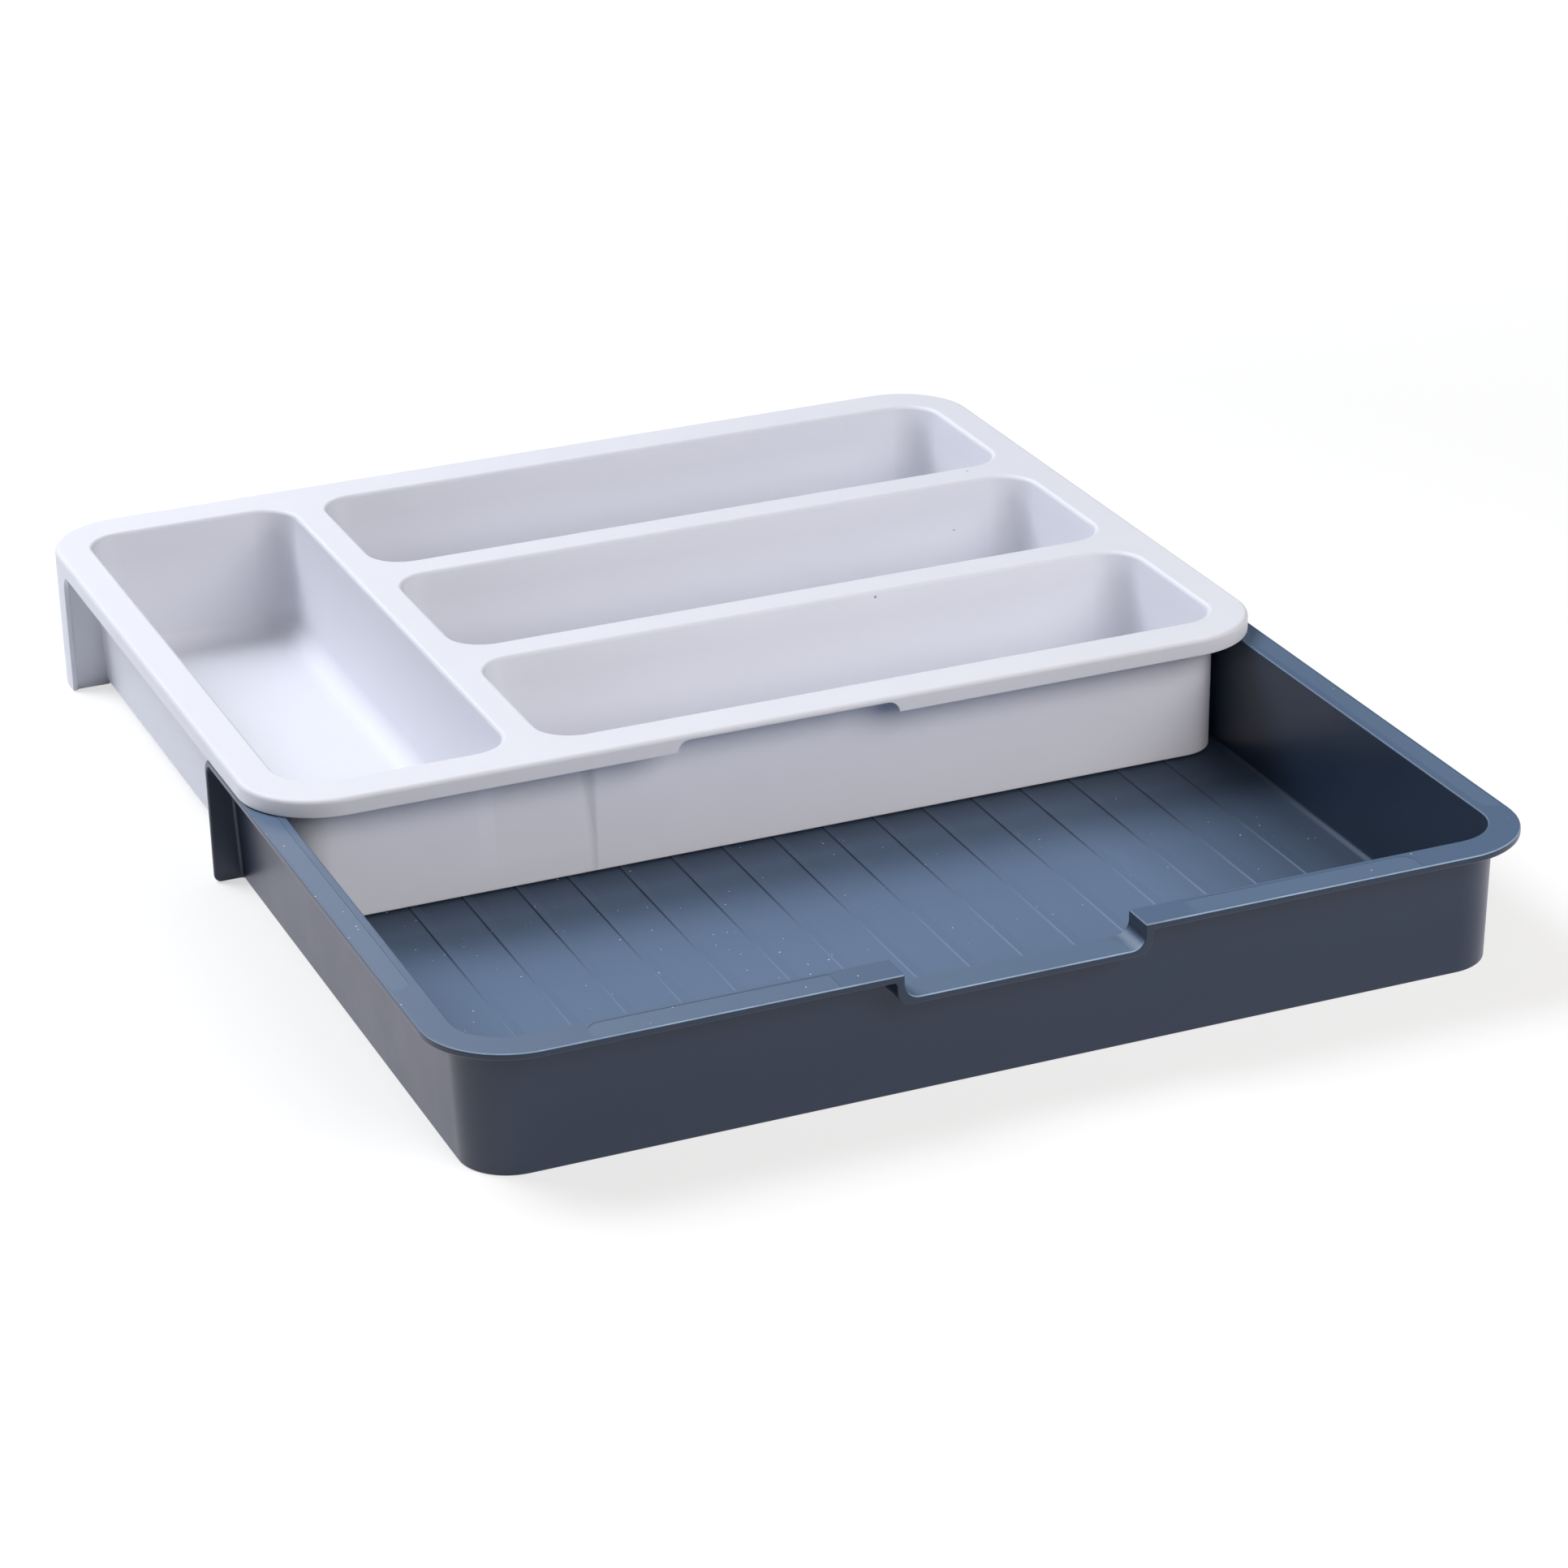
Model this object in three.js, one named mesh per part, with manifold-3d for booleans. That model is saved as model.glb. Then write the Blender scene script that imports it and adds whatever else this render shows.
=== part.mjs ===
// Expanding drawer organizer: two injection-moulded trays, one riding in the other.
// The slate lower tray is a shallow tub with an open far side. The pale upper tray hangs its pockets inside
// that tub, rests its side lips on the tub's rims and slides along Y to make the organizer longer.
// Millimetres, X to the right, Y away from the front, Z up. The origin is on the surface that the organizer
// stands on, under the middle of the pulled-out pair.
import * as THREE from "three";
import { mergeVertices } from "three/addons/utils/BufferGeometryUtils.js";
import Module from "manifold-3d";

// Both trays
const TRAY_LENGTH = 380;
const WALL = 1.8;
const DRAFT_DEGREES = 2.2;
const RIM_RADIUS = 30;
const PULLED_OUT = 192;
const FINGER_WIDTH = 83;

// Lower tray
const LOWER_HEIGHT = 47.8;
const LOWER_FLOOR = 1.8;
const LOWER_FILLET = 2;
const SIDE_RIM = 10.4;
const NEAR_RIM = 12.6;
const RIM_THICKNESS = 2.5;
const RIM_ROUND = 0.8;
const DIP_DEPTH = 8.3;
const DIP_RADIUS = 5;
const END_PLATE = 2;
const END_FILLET = 2;
const END_CORNER = 2.5;
const END_BEND = 6;
const RIB_PITCH = 19.28;
const RIB_WIDTH = 4.4;
const RIB_HEIGHT = 0.3;
const RIB_SIDE_MARGIN = 6;
const RIB_NEAR_MARGIN = 7;
const RIB_FAR_MARGIN = 3;

// Upper tray
const UPPER_DEPTH = 300;
const FAR_MARGIN = 18;
const SKIRT_DEPTH = 36;
const LIP_DROP = 6.4;
const LIP_WALL = 2;
const FLANGE = 2.2;
const EDGE_ROUND = 1.6;
const RETURN_PLATE = 2;
const RETURN_SETBACK = 1;
const CROSS_POCKET_WIDTH = 80.6;
const CROSS_DIVIDER = 13;
const LONG_POCKETS = 3;
const LONG_DIVIDER = 14.5;
const POCKET_RADIUS = 14;
const POCKET_FILLET = 8;
const CHANNEL_RADIUS = 3;
const CHANNEL_STEP = 1;

// Fits and clearances
const RIM_GAP = 0.3;
const RIB_GAP = 0.4;
const SKIRT_GAP = 0.4;
const SURFACE_GAP = 0.3;
const SIDE_CLEARANCE = 1.6;
const NEAR_CLEARANCE = 2.6;

// How far a cutter runs past the face that it cuts, and how deep a joined piece is let into its neighbour.
const OVERRUN = 1;
const LET_IN = 0.3;

// Flat steps in a quarter turn: corners seen from above, fillets inside hollows, and rounded rim edges.
const CORNER_STEPS = 6;
const FILLET_STEPS = 3;
const EDGE_STEPS = 2;

// Points of a surface that lie closer than this are one point.
const SAME_POINT = 1e-4;

// Plastics
const SLATE = { color: 0x3a4758, roughness: 0.45, metalness: 0 };
const PALE_GREY = { color: 0xdcdee6, roughness: 0.4, metalness: 0 };

const slope = Math.tan(THREE.MathUtils.degToRad(DRAFT_DEGREES));
const half = TRAY_LENGTH / 2;
const lowerNear = -(PULLED_OUT + UPPER_DEPTH) / 2;
const lowerFar = lowerNear + UPPER_DEPTH - SKIRT_DEPTH - SKIRT_GAP;
const upperNear = lowerNear + PULLED_OUT;
const upperFar = upperNear + UPPER_DEPTH;
const lipLow = LOWER_HEIGHT + RIM_GAP;
const upperTop = lipLow + LIP_DROP;
const upperBottom = LOWER_FLOOR + RIB_HEIGHT + RIB_GAP;
const bodyRadius = POCKET_RADIUS + WALL;
const tubInnerRadius = bodyRadius + SIDE_CLEARANCE;

const wasm = await Module();
wasm.setup();

// A closed surface as a solid that can be joined and cut.
function solid(geometry) {
  geometry.deleteAttribute("normal");
  geometry.deleteAttribute("uv");
  const merged = mergeVertices(geometry, SAME_POINT);
  const vertProperties = new Float32Array(merged.getAttribute("position").array);
  const triVerts = new Uint32Array(merged.index.array);
  return new wasm.Manifold(new wasm.Mesh({ numProp: 3, vertProperties, triVerts }));
}

function block(x0, x1, y0, y1, z0, z1) {
  const geometry = new THREE.BoxGeometry(x1 - x0, y1 - y0, z1 - z0);
  geometry.translate((x0 + x1) / 2, (y0 + y1) / 2, (z0 + z1) / 2);
  return solid(geometry);
}

// A flat outline pushed through a solid: u and v are the outline's axes and w is the way it is pushed.
function prism(shape, u, v, w, from, to) {
  const options = { depth: to - from, bevelEnabled: false, curveSegments: CORNER_STEPS };
  const geometry = new THREE.ExtrudeGeometry(shape, options);
  geometry.translate(0, 0, from);
  geometry.applyMatrix4(new THREE.Matrix4().makeBasis(u, v, w));
  return solid(geometry);
}

const ALONG_X = new THREE.Vector3(1, 0, 0);
const ALONG_Y = new THREE.Vector3(0, 1, 0);
const ALONG_Z = new THREE.Vector3(0, 0, 1);
const TOWARDS_FRONT = new THREE.Vector3(0, -1, 0);

// An outline in X and Z, pushed from the depth near to the depth far.
function prismInDepth(shape, near, far) {
  return prism(shape, ALONG_X, ALONG_Z, TOWARDS_FRONT, -far, -near);
}

function prismInLength(shape, left, right) {
  return prism(shape, ALONG_Y, ALONG_Z, ALONG_X, left, right);
}

function roundedRectangle({ x0, x1, y0, y1 }, radius) {
  const shape = new THREE.Shape();
  shape.absarc(x1 - radius, y0 + radius, radius, -Math.PI / 2, 0);
  shape.absarc(x1 - radius, y1 - radius, radius, 0, Math.PI / 2);
  shape.absarc(x0 + radius, y1 - radius, radius, Math.PI / 2, Math.PI);
  shape.absarc(x0 + radius, y0 + radius, radius, Math.PI, 1.5 * Math.PI);
  shape.closePath();
  return shape;
}

// A moulded form on a rounded rectangle. Each pair in the profile, from the bottom up, holds how far the
// form is drawn in from the rectangle and at what height.
function moulded(box, radius, profile) {
  const steps = profile.length - 1;
  const options = { depth: steps, steps, bevelEnabled: false, curveSegments: CORNER_STEPS };
  const geometry = new THREE.ExtrudeGeometry(roundedRectangle(box, radius), options);
  const place = geometry.getAttribute("position");
  for (let i = 0; i < place.count; i++) {
    const [inset, height] = profile[Math.round(place.getZ(i))];
    const coreX = THREE.MathUtils.clamp(place.getX(i), box.x0 + radius, box.x1 - radius);
    const coreY = THREE.MathUtils.clamp(place.getY(i), box.y0 + radius, box.y1 - radius);
    const share = (radius - inset) / radius;
    const x = coreX + (place.getX(i) - coreX) * share;
    const y = coreY + (place.getY(i) - coreY) * share;
    place.setXYZ(i, x, y, height);
  }
  return solid(geometry);
}

// A rectangle drawn in by the same amount on all sides.
function drawnIn({ x0, x1, y0, y1 }, by) {
  return { x0: x0 + by, x1: x1 - by, y0: y0 + by, y1: y1 - by };
}

// The draft of a moulded wall: how far it leans in at a height, from its place at the top.
function lean(top, height) {
  return (top - height) * slope;
}

// The profile of a moulded hollow: floor fillet, leaning wall and a rounded edge at the top.
function hollowProfile(floor, fillet, top, edge) {
  const profile = [];
  for (let i = 0; i <= FILLET_STEPS; i++) {
    const turn = (i / FILLET_STEPS) * (Math.PI / 2);
    const height = floor + fillet * (1 - Math.cos(turn));
    profile.push([lean(top, height) + fillet * (1 - Math.sin(turn)), height]);
  }
  for (let i = 0; i <= FILLET_STEPS; i++) {
    const turn = (i / FILLET_STEPS) * (Math.PI / 2);
    const height = top - edge * (1 - Math.sin(turn));
    profile.push([lean(top, height) - edge * (1 - Math.cos(turn)), height]);
  }
  profile.push([-edge, top + OVERRUN]);
  return profile;
}

// The profile of a plate or shell with upright sides and a rounded upper edge.
function roundedTopProfile(bottom, top, edge) {
  const profile = [[0, bottom]];
  for (let i = 0; i <= EDGE_STEPS; i++) {
    const turn = (i / EDGE_STEPS) * (Math.PI / 2);
    profile.push([edge * (1 - Math.cos(turn)), top - edge * (1 - Math.sin(turn))]);
  }
  return profile;
}

// The finger opening's outline in the lower rim: upright sides with rounded lower corners.
function dipOutline(grow) {
  const side = FINGER_WIDTH / 2 + grow;
  const low = LOWER_HEIGHT - DIP_DEPTH - grow;
  const high = LOWER_HEIGHT + (grow > 0 ? -RIM_ROUND : OVERRUN);
  const radius = DIP_RADIUS + grow;
  const shape = new THREE.Shape();
  shape.moveTo(side, high);
  shape.lineTo(-side, high);
  shape.absarc(-side + radius, low + radius, radius, Math.PI, 1.5 * Math.PI);
  shape.absarc(side - radius, low + radius, radius, 1.5 * Math.PI, 2 * Math.PI);
  shape.closePath();
  return shape;
}

// Tub of the lower tray: three leaning walls and a floor, open at the far end.
function lowerTub() {
  const runOut = lowerFar + 2 * RIM_RADIUS;
  const rimBox = { x0: -half, x1: half, y0: lowerNear, y1: runOut };
  const hollowBox = { x0: -half + SIDE_RIM, x1: half - SIDE_RIM, y0: lowerNear + NEAR_RIM, y1: runOut };
  const wallProfile = [
    [lean(LOWER_HEIGHT, 0), 0],
    [lean(LOWER_HEIGHT, LOWER_HEIGHT - RIM_ROUND), LOWER_HEIGHT - RIM_ROUND],
  ];
  const walls = moulded(drawnIn(hollowBox, -WALL), tubInnerRadius + WALL, wallProfile);
  const rimProfile = roundedTopProfile(LOWER_HEIGHT - RIM_THICKNESS, LOWER_HEIGHT, RIM_ROUND);
  const rim = moulded(rimBox, RIM_RADIUS, rimProfile);
  const dipFlange = prismInDepth(dipOutline(RIM_THICKNESS), lowerNear, lowerNear + NEAR_RIM);
  const dip = prismInDepth(dipOutline(0), lowerNear - OVERRUN, lowerNear + NEAR_RIM + RIM_RADIUS);
  const hollowed = hollowProfile(LOWER_FLOOR, LOWER_FILLET, LOWER_HEIGHT, RIM_ROUND);
  const hollow = moulded(hollowBox, tubInnerRadius, hollowed);
  const beyond = runOut + WALL + OVERRUN;
  const openEnd = block(-half - OVERRUN, half + OVERRUN, lowerFar, beyond, -OVERRUN, upperTop);
  const tub = walls.add(rim).add(dipFlange).subtract(openEnd).add(endPlates()).add(bendFill());
  return tub.subtract(hollow).subtract(dip).subtract(bendCut());
}

// Plates across the far ends of both side walls, out to the rim's edge, with a fillet where each meets
// its wall.
function endPlates() {
  const wall = half - SIDE_RIM + WALL;
  const face = lowerFar - END_PLATE;
  const plan = new THREE.Shape();
  plan.moveTo(half, face);
  plan.lineTo(half, lowerFar);
  plan.lineTo(-half, lowerFar);
  plan.lineTo(-half, face);
  plan.absarc(-wall - END_FILLET, face - END_FILLET, END_FILLET, Math.PI / 2, 0, true);
  plan.absarc(wall + END_FILLET, face - END_FILLET, END_FILLET, Math.PI, Math.PI / 2, true);
  plan.closePath();
  const upright = prism(plan, ALONG_X, ALONG_Y, ALONG_Z, 0, LOWER_HEIGHT - RIM_ROUND);
  const outline = new THREE.Shape();
  outline.absarc(-half + END_CORNER, END_CORNER, END_CORNER, Math.PI, 1.5 * Math.PI);
  outline.absarc(half - END_CORNER, END_CORNER, END_CORNER, 1.5 * Math.PI, 2 * Math.PI);
  outline.lineTo(half, LOWER_HEIGHT);
  outline.lineTo(-half, LOWER_HEIGHT);
  outline.closePath();
  return upright.intersect(prismInDepth(outline, face - END_FILLET - OVERRUN, lowerFar + OVERRUN));
}

// The inside of the bend where each side rim turns down into its end plate.
function bendFill() {
  const radius = END_BEND - END_PLATE;
  const y = lowerFar - END_PLATE;
  const z = LOWER_HEIGHT - RIM_THICKNESS;
  const shape = new THREE.Shape();
  shape.moveTo(y + LET_IN, z + LET_IN);
  shape.lineTo(y - radius, z + LET_IN);
  shape.absarc(y - radius, z - radius, radius, Math.PI / 2, 0, true);
  shape.lineTo(y + LET_IN, z - radius);
  shape.closePath();
  return prismInLength(shape, -half, half);
}

// What is rounded off outside that bend, so that the upper skirt's cut closes over it.
function bendCut() {
  const y = lowerFar - END_BEND;
  const z = LOWER_HEIGHT - END_BEND;
  const shape = new THREE.Shape();
  shape.moveTo(y, LOWER_HEIGHT + OVERRUN);
  shape.absarc(y, z, END_BEND, Math.PI / 2, 0, true);
  shape.lineTo(lowerFar + OVERRUN, z);
  shape.lineTo(lowerFar + OVERRUN, LOWER_HEIGHT + OVERRUN);
  shape.closePath();
  return prismInLength(shape, -half - OVERRUN, half + OVERRUN);
}

// Low ribs along the lower floor, steep on their left and fading out on their right.
function floorRibs() {
  const floorHalf = half - SIDE_RIM - lean(LOWER_HEIGHT, LOWER_FLOOR) - LOWER_FILLET - RIB_SIDE_MARGIN;
  const eachSide = Math.floor((floorHalf - RIB_WIDTH / 2) / RIB_PITCH);
  const near = lowerNear + NEAR_RIM + lean(LOWER_HEIGHT, LOWER_FLOOR) + RIB_NEAR_MARGIN;
  const ribs = [];
  for (let i = -eachSide; i <= eachSide; i++) {
    const left = i * RIB_PITCH - RIB_WIDTH / 2;
    const section = new THREE.Shape();
    section.moveTo(left, LOWER_FLOOR - LET_IN);
    section.lineTo(left + RIB_WIDTH, LOWER_FLOOR - LET_IN);
    section.lineTo(left + RIB_WIDTH, LOWER_FLOOR);
    section.lineTo(left, LOWER_FLOOR + RIB_HEIGHT);
    section.closePath();
    ribs.push(prismInDepth(section, near, lowerFar - RIB_FAR_MARGIN));
  }
  return ribs;
}

function lowerTray() {
  return floorRibs().reduce((tray, rib) => tray.add(rib), lowerTub());
}

// The outer rectangle of the pocket block, measured at the rim's top face.
const bodyBox = {
  x0: -half + SIDE_RIM + SIDE_CLEARANCE,
  x1: half - SIDE_RIM - SIDE_CLEARANCE,
  y0: upperNear + NEAR_RIM + NEAR_CLEARANCE,
  y1: upperFar - FAR_MARGIN + WALL,
};
const pocketField = drawnIn(bodyBox, WALL);
const crossPocketEnd = pocketField.x0 + CROSS_POCKET_WIDTH;
const longPocketStart = crossPocketEnd + CROSS_DIVIDER;
const longPocketDepth =
  (pocketField.y1 - pocketField.y0 - (LONG_POCKETS - 1) * LONG_DIVIDER) / LONG_POCKETS;

// Openings of the pockets at the rim: one across the left end, the rest along the tray.
function pocketBoxes() {
  const boxes = [{ ...pocketField, x1: crossPocketEnd }];
  for (let i = 0; i < LONG_POCKETS; i++) {
    const y0 = pocketField.y0 + i * (longPocketDepth + LONG_DIVIDER);
    boxes.push({ x0: longPocketStart, x1: pocketField.x1, y0, y1: y0 + longPocketDepth });
  }
  return boxes;
}

// Hollows under the dividers, open below, which leave every wall about as thick as the others. The long
// ones run into the cross one a step below its roof.
function dividerChannels() {
  const foot = upperBottom - OVERRUN;
  const endWall = WALL + 2 * lean(upperTop, foot);
  const channel = (box, roof) =>
    moulded(box, CHANNEL_RADIUS, [
      [-lean(upperTop, foot), foot],
      [-lean(upperTop, roof), roof],
    ]);
  const crossBox = {
    x0: crossPocketEnd + WALL,
    x1: longPocketStart - WALL,
    y0: bodyBox.y0 + endWall,
    y1: bodyBox.y1 - endWall,
  };
  const channels = [channel(crossBox, upperTop - FLANGE)];
  const x0 = (crossBox.x0 + crossBox.x1) / 2;
  const x1 = bodyBox.x1 - endWall;
  for (let i = 1; i < LONG_POCKETS; i++) {
    const y1 = pocketField.y0 + i * (longPocketDepth + LONG_DIVIDER) - WALL;
    const y0 = y1 - LONG_DIVIDER + 2 * WALL;
    channels.push(channel({ x0, x1, y0, y1 }, upperTop - FLANGE - CHANNEL_STEP));
  }
  return channels;
}

// Rim, lip and far skirt: a shell whose sides are cut away above the lower tray's rims.
function cover() {
  const outerBox = { x0: -half, x1: half, y0: upperNear, y1: upperFar };
  const outside = moulded(outerBox, RIM_RADIUS, roundedTopProfile(SURFACE_GAP, upperTop, EDGE_ROUND));
  const inside = moulded(drawnIn(outerBox, LIP_WALL), RIM_RADIUS - LIP_WALL, [
    [0, SURFACE_GAP - OVERRUN],
    [0, upperTop - FLANGE],
  ]);
  const skirtFront = upperFar - SKIRT_DEPTH;
  const cut = new THREE.Shape();
  cut.moveTo(upperNear - OVERRUN, SURFACE_GAP - OVERRUN);
  cut.lineTo(skirtFront, SURFACE_GAP - OVERRUN);
  cut.absarc(skirtFront - END_BEND, lipLow - END_BEND, END_BEND, 0, Math.PI / 2);
  cut.lineTo(upperNear - OVERRUN, lipLow);
  cut.closePath();
  const sideCut = prismInLength(cut, -half - OVERRUN, half + OVERRUN);
  return outside.subtract(inside).subtract(sideCut);
}

// Plate that closes the skirt's front end, between the skirt and the pocket block.
function returnPlate(side) {
  const y0 = upperFar - SKIRT_DEPTH + RETURN_SETBACK;
  const outer = half - LIP_WALL + LET_IN;
  const inner = bodyBox.x1 - WALL / 2 - lean(upperTop, upperBottom);
  const ends = [side * inner, side * outer].sort((a, b) => a - b);
  return block(ends[0], ends[1], y0, y0 + RETURN_PLATE, SURFACE_GAP, upperTop - FLANGE + LET_IN);
}

// The finger opening in the front lip, which meets the dip in the lower rim when the pair is closed.
function lipOpening() {
  const roof = upperTop - FLANGE;
  const radius = roof - lipLow;
  const side = FINGER_WIDTH / 2;
  const shape = new THREE.Shape();
  shape.moveTo(-side, lipLow - OVERRUN);
  shape.lineTo(side, lipLow - OVERRUN);
  shape.absarc(side - radius, lipLow, radius, 0, Math.PI / 2);
  shape.absarc(-side + radius, lipLow, radius, Math.PI / 2, Math.PI);
  shape.closePath();
  return prismInDepth(shape, upperNear - OVERRUN, upperNear + LIP_WALL + OVERRUN);
}

function upperTray() {
  const bodyProfile = [
    [lean(upperTop, upperBottom), upperBottom],
    [lean(upperTop, upperTop - EDGE_ROUND), upperTop - EDGE_ROUND],
  ];
  let tray = cover().subtract(lipOpening()).add(moulded(bodyBox, bodyRadius, bodyProfile));
  for (const side of [-1, 1]) {
    tray = tray.add(returnPlate(side));
  }
  const pocketProfile = hollowProfile(upperBottom + WALL, POCKET_FILLET, upperTop, EDGE_ROUND);
  for (const box of pocketBoxes()) {
    tray = tray.subtract(moulded(box, POCKET_RADIUS, pocketProfile));
  }
  for (const channel of dividerChannels()) {
    tray = tray.subtract(channel);
  }
  return tray;
}

// A named mesh of one finished solid, in its own moulded plastic.
function piece(name, made, plastic) {
  const { vertProperties, triVerts } = made.getMesh();
  const geometry = new THREE.BufferGeometry();
  geometry.setAttribute("position", new THREE.BufferAttribute(vertProperties, 3));
  geometry.setIndex(new THREE.BufferAttribute(triVerts, 1));
  geometry.computeVertexNormals();
  const mesh = new THREE.Mesh(geometry, new THREE.MeshStandardMaterial(plastic));
  mesh.name = name;
  return mesh;
}

const organizer = new THREE.Group();
organizer.name = "drawer_organizer";
organizer.add(piece("lower_tray", lowerTray(), SLATE));
organizer.add(piece("upper_tray", upperTray(), PALE_GREY));

export default organizer;
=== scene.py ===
import math

import bmesh
import bpy
from mathutils import Matrix, Vector


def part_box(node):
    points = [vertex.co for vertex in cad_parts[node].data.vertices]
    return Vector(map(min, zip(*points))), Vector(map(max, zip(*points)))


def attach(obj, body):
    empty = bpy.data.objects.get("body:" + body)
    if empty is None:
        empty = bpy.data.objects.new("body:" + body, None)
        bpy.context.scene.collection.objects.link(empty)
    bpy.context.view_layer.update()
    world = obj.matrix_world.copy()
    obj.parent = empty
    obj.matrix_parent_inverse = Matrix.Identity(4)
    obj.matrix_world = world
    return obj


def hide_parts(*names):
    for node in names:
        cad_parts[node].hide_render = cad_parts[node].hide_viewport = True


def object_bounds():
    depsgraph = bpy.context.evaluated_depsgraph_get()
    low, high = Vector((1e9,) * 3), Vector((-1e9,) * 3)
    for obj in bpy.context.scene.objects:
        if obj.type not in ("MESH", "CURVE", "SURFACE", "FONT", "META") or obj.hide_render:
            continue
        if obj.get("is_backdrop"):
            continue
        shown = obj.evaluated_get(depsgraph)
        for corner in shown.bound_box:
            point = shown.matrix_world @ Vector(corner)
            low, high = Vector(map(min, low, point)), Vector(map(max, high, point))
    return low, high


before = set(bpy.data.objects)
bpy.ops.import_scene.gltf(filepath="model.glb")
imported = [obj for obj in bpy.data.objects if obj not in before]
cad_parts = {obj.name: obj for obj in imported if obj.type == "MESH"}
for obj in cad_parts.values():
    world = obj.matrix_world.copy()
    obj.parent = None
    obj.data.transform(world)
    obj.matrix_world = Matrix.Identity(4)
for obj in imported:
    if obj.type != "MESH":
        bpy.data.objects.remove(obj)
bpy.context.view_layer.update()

# Lower tray: a slate-blue tub, injection moulded in satin polypropylene about 2 mm thick. It is open at the
# far side, where its side rims bend down into end plates, and its rims carry the lips of the upper tray.
tub_low, tub_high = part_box("lower_tray")
RIM_THICK = 0.0025
RIM_CORNER = 0.030
RIM_CORNER_STEPS = 20
SIDE_RIM = 0.0104
NEAR_RIM = 0.0126
WALL = 0.0018
FLOOR_TOP = 0.0018
FLOOR_FILLET = 0.002
FLOOR_FILLET_STEPS = 6
DRAFT = math.tan(math.radians(2.2))
END_PLATE = 0.002
END_CORNER = 0.0025
BEND_OUTSIDE = 0.006
BEND_STEPS = 12
BEND_INSIDE = 0.004
BEND_INSIDE_STEPS = 8
EDGE_ROUND = 0.0006
EDGE_ROUND_STEPS = 3
CORNER_FILLET = 0.0012
CORNER_FILLET_STEPS = 4


def edit(piece):
    """Opens one piece for editing, with nothing else selected."""
    bpy.ops.object.select_all(action="DESELECT")
    piece.select_set(True)
    bpy.context.view_layer.objects.active = piece
    bpy.ops.object.mode_set(mode="EDIT")


def done():
    """Closes the piece that is being edited."""
    bpy.ops.object.mode_set(mode="OBJECT")


def choose(kind, test):
    """Selects those vertices, edges or faces of the open piece that pass the test."""
    bpy.ops.mesh.select_mode(type=kind)
    bpy.ops.mesh.select_all(action="DESELECT")
    mesh = bmesh.from_edit_mesh(bpy.context.object.data)
    items = {"VERT": mesh.verts, "EDGE": mesh.edges, "FACE": mesh.faces}[kind]
    for item in items:
        if test(item):
            item.select_set(True)
    mesh.select_flush_mode()
    bmesh.update_edit_mesh(bpy.context.object.data)


def plate(name, low, high, radius, steps):
    """A flat face between two corners that share one coordinate, rounded and left open for editing."""
    low = Vector(low)
    high = Vector(high)
    span = high - low
    flat = min(range(3), key=lambda axis: abs(span[axis]))
    turn = ((math.pi / 2, 0, math.pi / 2), (math.pi / 2, 0, 0), (0, 0, 0))[flat]
    along, across = ((1, 2), (0, 2), (0, 1))[flat]
    bpy.ops.object.select_all(action="DESELECT")
    bpy.ops.mesh.primitive_plane_add(size=1, location=(low + high) / 2, rotation=turn)
    piece = bpy.context.object
    piece.name = name
    piece.data.name = name
    piece.scale = (span[along], span[across], 1)
    bpy.ops.object.transform_apply(location=True, rotation=True, scale=True)
    for vertex in piece.data.vertices:
        for axis in range(3):
            vertex.co[axis] = min(low[axis], high[axis], key=lambda end: abs(end - vertex.co[axis]))
    corners = [vertex.co.copy() for vertex in piece.data.vertices]
    edit(piece)
    for corner in corners:
        if radius(corner) > 0:
            choose("VERT", lambda vertex: (vertex.co - corner).length < 1e-6)
            bpy.ops.mesh.bevel(
                offset=radius(corner),
                offset_type="OFFSET",
                segments=steps,
                profile=0.5,
                affect="VERTICES",
            )
    choose("FACE", lambda face: True)
    return piece


def push(reach):
    """Extrudes the selected face."""
    bpy.ops.mesh.extrude_region_move(TRANSFORM_OT_translate={"value": reach})


def face_outward():
    """Turns every face of the open piece outward and closes the piece."""
    bpy.ops.mesh.select_all(action="SELECT")
    bpy.ops.mesh.normals_make_consistent(inside=False)
    done()


def prism(name, low, high, reach, radius=lambda corner: 0.0, steps=8):
    """A plate extruded into a solid."""
    piece = plate(name, low, high, radius, steps)
    push(reach)
    face_outward()
    return piece


def combine(piece, tool, operation):
    """Joins a tool to a piece, or cuts it out of the piece, and clears away the tool."""
    bpy.context.view_layer.objects.active = piece
    step = piece.modifiers.new("combine", "BOOLEAN")
    step.operation = operation
    step.solver = "EXACT"
    step.object = tool
    bpy.ops.object.modifier_apply(modifier=step.name)
    bpy.data.objects.remove(tool)


def merge_flats(piece):
    """Merges doubled points and faces in one plane, so that edges can be rounded across them."""
    edit(piece)
    choose("VERT", lambda vertex: True)
    bpy.ops.mesh.remove_doubles(threshold=2e-6)
    bpy.ops.mesh.dissolve_limited(angle_limit=math.radians(0.05))
    choose("VERT", lambda vertex: True)
    bpy.ops.mesh.dissolve_degenerate(threshold=1e-5)
    done()


def round_edges(piece, test, radius, steps):
    """Rounds those edges of a piece that pass the test."""
    edit(piece)
    choose("EDGE", test)
    bpy.ops.mesh.bevel(
        offset=radius,
        offset_type="OFFSET",
        segments=steps,
        profile=0.5,
        affect="EDGES",
        clamp_overlap=True,
        loop_slide=False,
    )
    done()


def fold(edge):
    """The angle between the two faces of an edge, above zero where the edge stands out."""
    return math.degrees(edge.calc_face_angle_signed(0.0))


def lies_at(edge, axis, value):
    """Whether both ends of an edge lie at one height, depth or length."""
    return all(abs(vertex.co[axis] - value) < 2e-5 for vertex in edge.verts)


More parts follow.
